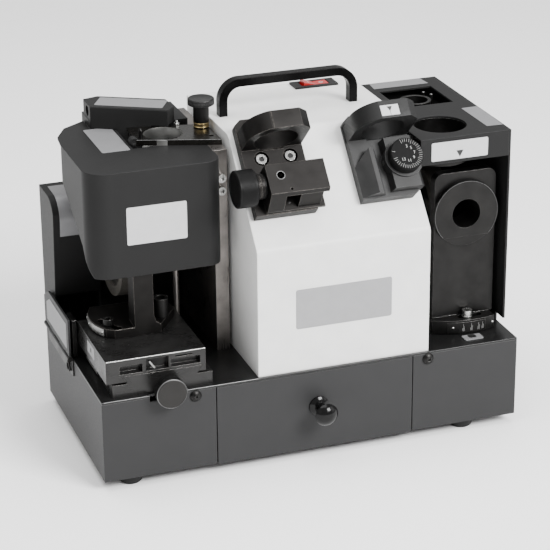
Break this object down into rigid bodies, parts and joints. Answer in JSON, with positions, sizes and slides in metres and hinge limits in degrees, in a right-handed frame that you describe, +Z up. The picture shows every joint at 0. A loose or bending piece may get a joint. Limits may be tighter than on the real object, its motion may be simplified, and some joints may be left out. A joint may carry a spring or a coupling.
{
  "type": "drill bit sharpener",
  "caption": "Bench sharpener for drill bits and end mills: drawer base, white motor housing, an end mill station on the left, a drill station on the right and setting gauges on its slope.",
  "frame": {"origin": "middle of the ground area under the rubber feet, with the knob and the inlet counted", "axes": "+X to the right as seen from the front, +Y to the back, +Z up"},
  "size_m": [0.4054, 0.2314, 0.3275],
  "materials": {
    "dark_coat": "satin powder coat",
    "deck_black": "satin powder coat, bright front edge",
    "white_coat": "satin powder coat",
    "handle_black": "gloss",
    "black_oxide": "blackened, fine machining",
    "gun_metal": "gunmetal, worn light edges",
    "dark_steel": "ground and blackened",
    "bright_steel": "bright",
    "scale_metal": "satin plate",
    "dial_black": "black anodised, white marks",
    "knob_plastic": "gloss phenolic",
    "black_plastic": "matte",
    "red_plastic": "gloss, translucent red",
    "foot_rubber": "matte",
    "wheel_grit": "grit rim on a metal disc",
    "motor_grey": "painted"
  },
  "bodies": {
    "machine": {"base_box": "dark_coat", "box_walls": "dark_coat", "deck_plate": "deck_black", "foot_1": "foot_rubber", "foot_2": "foot_rubber", "foot_3": "foot_rubber", "foot_4": "foot_rubber", "base_screws": "black_oxide", "main_housing": "white_coat", "handle": "handle_black", "switch_bezel": "black_plastic", "left_frame": "dark_steel", "frame_screws": "dark_steel", "top_plate": "dark_steel", "index_pin": "bright_steel", "left_cover": "dark_coat", "rear_hood": "dark_coat", "left_housing": "dark_coat", "flap_hinge": "black_oxide", "latch_ring": "black_oxide", "flap_stop": "black_oxide", "dovetail_base": "black_oxide", "travel_scale": "scale_metal", "guide_rod": "bright_steel", "motor": "motor_grey", "motor_cradle": "dark_steel", "right_cover": "dark_coat", "right_side": "dark_coat", "right_frame": "dark_steel", "point_pivot": "bright_steel", "point_screw": "bright_steel", "relief_socket": "black_oxide", "web_socket": "black_oxide", "mill_gauge": "gun_metal", "gauge_screws": "bright_steel", "drill_gauge": "gun_metal", "drill_ring": "gun_metal", "power_inlet": "black_plastic"},
    "drawer": {"drawer_box": "dark_coat", "drawer_front": "dark_coat", "drawer_knob": "knob_plastic"},
    "rocker": {"switch_rocker": "red_plastic"},
    "clamp": {"clamp_screw": "black_oxide"},
    "side_flap": {"flap": "dark_coat"},
    "feed": {"feed_screw": "black_oxide"},
    "slide_carriage": {"carriage": "black_oxide", "swivel_screw": "bright_steel"},
    "mill_swivel": {"swivel_bracket": "gun_metal", "swivel_scale": "scale_metal", "stop_post": "black_oxide"},
    "rotor": {"spindle": "bright_steel", "wheel_left": "wheel_grit", "wheel_right": "wheel_grit"},
    "jaw_knob": {"jaw_screw": "knob_plastic"},
    "jaw": {"mill_jaw": "gun_metal"},
    "point_swivel": {"point_bracket": "black_oxide", "point_socket": "gun_metal", "point_scale": "scale_metal"},
    "dial": {"drill_dial": "dial_black"},
    "stop_pin": {"drill_stop": "bright_steel"}
  },
  "joints": [
    {"name": "drawer_slide", "type": "slide", "parent": "machine", "child": "drawer", "axis": [0, -1, 0], "range_m": [0, 0.15]},
    {"name": "rocker_tilt", "type": "hinge", "parent": "machine", "child": "rocker", "pos_m": [0.07225, 0.10225, 0.291], "axis": [0, -1, 0], "range_deg": [0, 14]},
    {"name": "clamp_turn", "type": "hinge", "parent": "machine", "child": "clamp", "pos_m": [-0.061, 0.03725, 0.29], "axis": [0, 0, 1], "range_deg": [-180, 180]},
    {"name": "flap_hinge_turn", "type": "hinge", "parent": "machine", "child": "side_flap", "pos_m": [-0.20025, 0.05375, 0.089], "axis": [0, -1, 0], "range_deg": [0, 100]},
    {"name": "feed_turn", "type": "hinge", "parent": "machine", "child": "feed", "pos_m": [-0.13625, -0.08875, 0.0925], "axis": [0, 1, 0], "range_deg": [-1445, 1445]},
    {"name": "carriage_slide", "type": "slide", "parent": "machine", "child": "slide_carriage", "axis": [0, 1, 0], "range_m": [-0.004, 0.004]},
    {"name": "mill_swivel_turn", "type": "hinge", "parent": "slide_carriage", "child": "mill_swivel", "pos_m": [-0.13165, -0.00475, 0.128], "axis": [0, 0, 1], "range_deg": [-15, 15]},
    {"name": "spindle_spin", "type": "hinge", "parent": "machine", "child": "rotor", "pos_m": [0.02275, 0.04125, 0.18], "axis": [1, 0, 0], "continuous": true},
    {"name": "jaw_turn", "type": "hinge", "parent": "machine", "child": "jaw_knob", "pos_m": [-0.04725, -0.06764, 0.26211], "axis": [1, 0, 0], "range_deg": [-2885, 965]},
    {"name": "jaw_slide", "type": "slide", "parent": "machine", "child": "jaw", "axis": [1, 0, 0], "range_m": [-0.012, 0.004]},
    {"name": "point_swivel_turn", "type": "hinge", "parent": "machine", "child": "point_swivel", "pos_m": [0.16875, 0.00725, 0.095], "axis": [0, 0, 1], "range_deg": [-10, 4]},
    {"name": "dial_turn", "type": "hinge", "parent": "machine", "child": "dial", "pos_m": [0.09775, -0.06094, 0.26954], "axis": [0, -0.7431, 0.6691], "range_deg": [-167, 167]},
    {"name": "stop_slide", "type": "slide", "parent": "machine", "child": "stop_pin", "axis": [1, 0, 0], "range_m": [-0.002, 0.002]}
  ],
  "couplings": [
    {"joint": "feed_turn", "follows": "carriage_slide", "rad_per_m": 6283.2},
    {"joint": "jaw_turn", "follows": "jaw_slide", "rad_per_m": 4188.8},
    {"joint": "dial_turn", "follows": "stop_slide", "rad_per_m": 1449.3}
  ]
}
